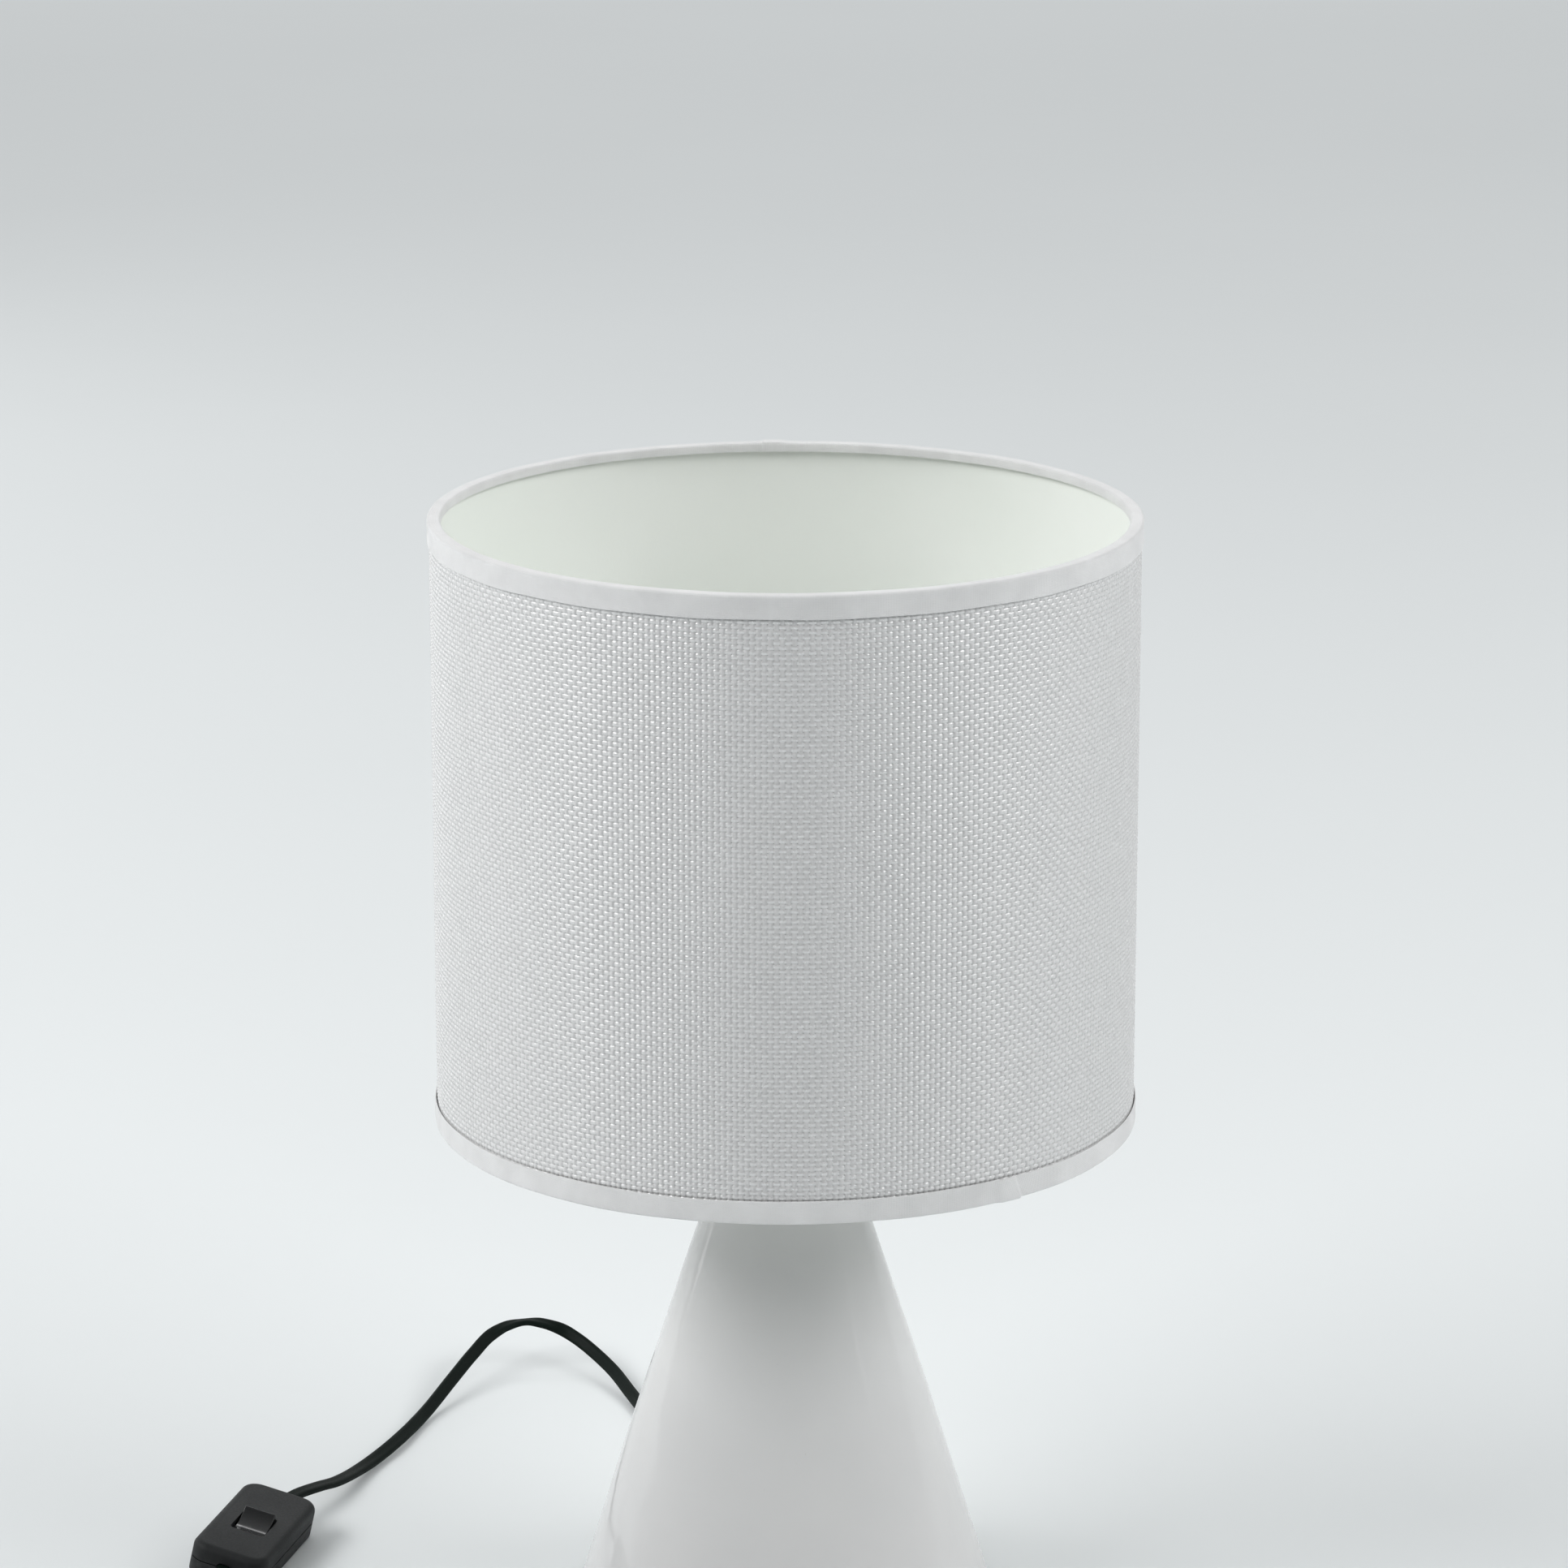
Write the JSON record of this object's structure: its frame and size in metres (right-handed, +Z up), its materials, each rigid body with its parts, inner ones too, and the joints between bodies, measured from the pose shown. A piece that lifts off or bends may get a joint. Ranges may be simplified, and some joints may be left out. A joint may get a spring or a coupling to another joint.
{
  "type": "table lamp with shade",
  "caption": "Table lamp with a white glazed ceramic cone, a white woven drum shade on a screw holder, and a black flat lead with an inline rocker switch and flat plug.",
  "frame": {"origin": "centre of the foot's underside, on the table", "axes": "+Z up along the axis of the cone and the shade; the lead leaves at the back, 17.6 degrees from +Y towards -X"},
  "size_m": [0.3291, 0.3516, 0.385],
  "materials": {
    "ceramic_glaze": "glossy white glaze over ceramic",
    "felt": "pressed black felt",
    "black_plastic": "fine-grained black moulding",
    "rocker_gloss": "polished black moulding",
    "tie_plastic": "black coated tie",
    "cord_pvc": "satin black PVC flex",
    "holder_plastic": "satin white moulding",
    "white_paint": "white powder coat",
    "zinc_steel": "zinc-plated steel",
    "brass": "bare brass",
    "nickel": "nickel plate",
    "shade_weave": "open plain weave of glossy white yarn",
    "shade_lining": "satin white lining film",
    "edge_tape": "folded white cloth tape",
    "bulb_diffuser": "opal white diffuser"
  },
  "bodies": {
    "lamp": {"ceramic_body": "ceramic_glaze", "felt_pad": "felt", "cord_strain_relief": "black_plastic", "relief_lock_nut": "holder_plastic", "inner_cord": "cord_pvc", "threaded_nipple": "zinc_steel", "inner_washer": "zinc_steel", "inner_nut": "zinc_steel", "neck_cap": "white_paint", "holder_lock_nut": "zinc_steel", "holder_base": "holder_plastic", "holder_barrel": "holder_plastic", "terminal_block": "holder_plastic", "terminal_screw_live": "brass", "terminal_screw_neutral": "brass", "screw_shell": "brass", "centre_contact": "brass", "cord_lamp_to_switch": "cord_pvc", "cord_switch_to_coil": "cord_pvc", "cord_coil": "cord_pvc", "coil_tie": "tie_plastic", "cord_coil_to_plug": "cord_pvc", "switch_base": "black_plastic", "switch_cover": "black_plastic", "switch_screw_1": "zinc_steel", "switch_screw_2": "zinc_steel", "rocker_axle": "zinc_steel", "fulcrum_terminal": "brass", "switched_terminal": "brass", "plug_strain_relief": "black_plastic", "plug_body": "black_plastic", "plug_pin_sleeve_left": "black_plastic", "plug_pin_sleeve_right": "black_plastic", "plug_pin_left": "nickel", "plug_pin_right": "nickel"},
    "shade": {"shade_fabric": "shade_weave", "shade_lining": "shade_lining", "top_ring_wire": "white_paint", "bottom_ring_wire": "white_paint", "top_edge_tape": "edge_tape", "bottom_edge_tape": "edge_tape", "fitting_ring": "white_paint", "spider_arm_1": "white_paint", "spider_arm_2": "white_paint", "spider_arm_3": "white_paint"},
    "retaining_ring": {"shade_retaining_ring": "holder_plastic"},
    "bulb": {"bulb_globe": "bulb_diffuser", "bulb_housing": "holder_plastic", "bulb_cap": "nickel", "bulb_insulator": "rocker_gloss", "bulb_tip": "nickel"},
    "rocker": {"switch_rocker": "rocker_gloss", "switch_plunger": "brass"},
    "bridge": {"contact_bridge": "brass"}
  },
  "joints": [
    {"name": "rocker_tilt", "type": "hinge", "parent": "lamp", "child": "rocker", "pos_m": [-0.18852, 0.02091, 0.01186], "axis": [0.9439, -0.2418, -0.225], "range_deg": [-28, 0]},
    {"name": "bridge_tilt", "type": "hinge", "parent": "lamp", "child": "bridge", "pos_m": [-0.18954, 0.02118, 0.00728], "axis": [0.9439, -0.2418, -0.225], "range_deg": [0, 16]},
    {"name": "shade_turn", "type": "hinge", "parent": "lamp", "child": "shade", "pos_m": [0, 0, 0.2], "axis": [0, 0, 1], "continuous": true},
    {"name": "retaining_ring_turn", "type": "hinge", "parent": "lamp", "child": "retaining_ring", "pos_m": [0, 0, 0.208], "axis": [0, 0, 1], "continuous": true},
    {"name": "bulb_turn", "type": "hinge", "parent": "lamp", "child": "bulb", "pos_m": [0, 0, 0.22], "axis": [0, 0, 1], "continuous": true}
  ],
  "couplings": [
    {"joint": "bridge_tilt", "follows": "rocker_tilt", "ratio": -0.5714}
  ]
}
